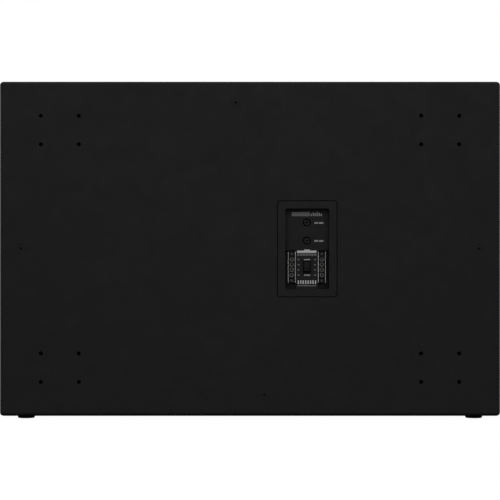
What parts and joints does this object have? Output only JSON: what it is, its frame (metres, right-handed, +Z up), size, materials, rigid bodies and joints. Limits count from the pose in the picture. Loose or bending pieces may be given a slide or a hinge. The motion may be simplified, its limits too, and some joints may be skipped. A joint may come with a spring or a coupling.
{
  "type": "dual-driver subwoofer cabinet",
  "caption": "Wide black reflex subwoofer cabinet with a recessed rear connector dish, castor bolt holes, rigging points, side handles and a steel grille.",
  "frame": {"origin": "on the floor under the centre of the cabinet, at the bottom of the feet", "axes": "+Z up, +X across the cabinet to the right as a listener in front sees it, +Y from the grille to the rear panel with the connectors"},
  "size_m": [1.054, 0.535, 0.712],
  "materials": {
    "cabinet_paint": "black textured paint on plywood",
    "baffle_paint": "black paint on plywood",
    "plywood": "bare birch plywood",
    "grille_paint": "black powder coat on perforated steel",
    "grille_foam": "open-cell acoustic foam",
    "spacer_plastic": "black plastic",
    "black_steel": "black zinc plating",
    "foot_rubber": "matt black rubber",
    "handle_plastic": "textured black plastic",
    "handle_rubber": "black rubber grip",
    "zinc_steel": "zinc plated",
    "dish_paint": "black powder coat",
    "gasket_foam": "closed-cell foam",
    "socket_plastic": "black glass-filled plastic",
    "contact_brass": "plain brass",
    "strip_plastic": "black thermoplastic",
    "terminal_brass": "nickel-flashed brass",
    "screw_brass": "plain brass",
    "switch_plastic": "black nylon",
    "rocker_plastic": "black nylon, lightly polished",
    "terminal_plastic": "red and black push terminals",
    "cable_sheath": "black rubber sheath",
    "basket_metal": "die cast, black powder coat",
    "surround_cloth": "doped cloth",
    "cone_paper": "coated paper pulp",
    "cap_paper": "coated paper",
    "coil_copper": "enamelled copper on a glass-fibre former",
    "spider_cloth": "resin-treated cotton",
    "plate_steel": "zinc plated",
    "magnet_ferrite": "ferrite ceramic"
  },
  "bodies": {
    "cabinet": {"top_panel": "cabinet_paint", "bottom_panel": "cabinet_paint", "left_side_panel": "cabinet_paint", "right_side_panel": "cabinet_paint", "rear_panel": "cabinet_paint", "front_baffle": "baffle_paint", "centre_brace": "plywood", "port_shelf": "plywood", "port_divider": "plywood", "grille": "grille_paint", "grille_foam": "grille_foam", "grille_spacers": "spacer_plastic", "grille_screws": "black_steel", "feet": "foot_rubber", "panel_screws": "black_steel", "handle_dishes": "handle_plastic", "handle_bars": "handle_rubber", "castor_tee_nuts": "zinc_steel", "rigging_inserts": "zinc_steel", "rigging_blanking_bolts": "black_steel", "input_dish": "dish_paint", "dish_gasket": "gasket_foam", "input_socket": "socket_plastic", "link_socket": "socket_plastic", "socket_contacts": "contact_brass", "input_panel_screws": "black_steel", "terminal_strips": "strip_plastic", "terminal_plates": "terminal_brass", "mode_switch_body": "switch_plastic", "driver_gaskets": "gasket_foam", "driver_terminals": "terminal_plastic", "driver_bolts": "black_steel", "driver_cables": "cable_sheath", "left_basket": "basket_metal", "left_surround": "surround_cloth", "left_spider": "spider_cloth", "left_top_plate": "plate_steel", "left_magnet": "magnet_ferrite", "left_back_plate": "plate_steel", "right_basket": "basket_metal", "right_surround": "surround_cloth", "right_spider": "spider_cloth", "right_top_plate": "plate_steel", "right_magnet": "magnet_ferrite", "right_back_plate": "plate_steel"},
    "left_cone_unit": {"left_cone": "cone_paper", "left_dust_cap": "cap_paper", "left_voice_coil": "coil_copper"},
    "right_cone_unit": {"right_cone": "cone_paper", "right_dust_cap": "cap_paper", "right_voice_coil": "coil_copper"},
    "mode_rocker": {"mode_switch_rocker": "rocker_plastic"},
    "screw_a1": {"terminal_screw_a1": "screw_brass"},
    "screw_b1": {"terminal_screw_b1": "screw_brass"},
    "screw_a2": {"terminal_screw_a2": "screw_brass"},
    "screw_b2": {"terminal_screw_b2": "screw_brass"},
    "screw_a3": {"terminal_screw_a3": "screw_brass"},
    "screw_b3": {"terminal_screw_b3": "screw_brass"},
    "screw_a4": {"terminal_screw_a4": "screw_brass"},
    "screw_b4": {"terminal_screw_b4": "screw_brass"}
  },
  "joints": [
    {"name": "left_cone_travel", "type": "slide", "parent": "cabinet", "child": "left_cone_unit", "axis": [0, -1, 0], "range_m": [-0.01, 0.01], "stiffness_N_per_m": 9700, "deforming": ["left_surround", "left_spider"]},
    {"name": "right_cone_travel", "type": "slide", "parent": "cabinet", "child": "right_cone_unit", "axis": [0, -1, 0], "range_m": [-0.01, 0.01], "stiffness_N_per_m": 9700, "deforming": ["right_surround", "right_spider"]},
    {"name": "mode_switch_rock", "type": "hinge", "parent": "cabinet", "child": "mode_rocker", "pos_m": [-0.1204, 0.234, 0.3211], "axis": [-1, 0, 0], "range_deg": [0, 24]},
    {"name": "terminal_screw_a1_turn", "type": "hinge", "parent": "cabinet", "child": "screw_a1", "pos_m": [-0.1523, 0.2285, 0.3376], "axis": [0, 1, 0], "range_deg": [0, 1080]},
    {"name": "terminal_screw_a2_turn", "type": "hinge", "parent": "cabinet", "child": "screw_a2", "pos_m": [-0.1523, 0.2285, 0.3266], "axis": [0, 1, 0], "range_deg": [0, 1080]},
    {"name": "terminal_screw_a3_turn", "type": "hinge", "parent": "cabinet", "child": "screw_a3", "pos_m": [-0.1523, 0.2285, 0.3156], "axis": [0, 1, 0], "range_deg": [0, 1080]},
    {"name": "terminal_screw_a4_turn", "type": "hinge", "parent": "cabinet", "child": "screw_a4", "pos_m": [-0.1523, 0.2285, 0.3046], "axis": [0, 1, 0], "range_deg": [0, 1080]},
    {"name": "terminal_screw_b1_turn", "type": "hinge", "parent": "cabinet", "child": "screw_b1", "pos_m": [-0.0885, 0.2285, 0.3376], "axis": [0, 1, 0], "range_deg": [0, 1080]},
    {"name": "terminal_screw_b2_turn", "type": "hinge", "parent": "cabinet", "child": "screw_b2", "pos_m": [-0.0885, 0.2285, 0.3266], "axis": [0, 1, 0], "range_deg": [0, 1080]},
    {"name": "terminal_screw_b3_turn", "type": "hinge", "parent": "cabinet", "child": "screw_b3", "pos_m": [-0.0885, 0.2285, 0.3156], "axis": [0, 1, 0], "range_deg": [0, 1080]},
    {"name": "terminal_screw_b4_turn", "type": "hinge", "parent": "cabinet", "child": "screw_b4", "pos_m": [-0.0885, 0.2285, 0.3046], "axis": [0, 1, 0], "range_deg": [0, 1080]}
  ]
}
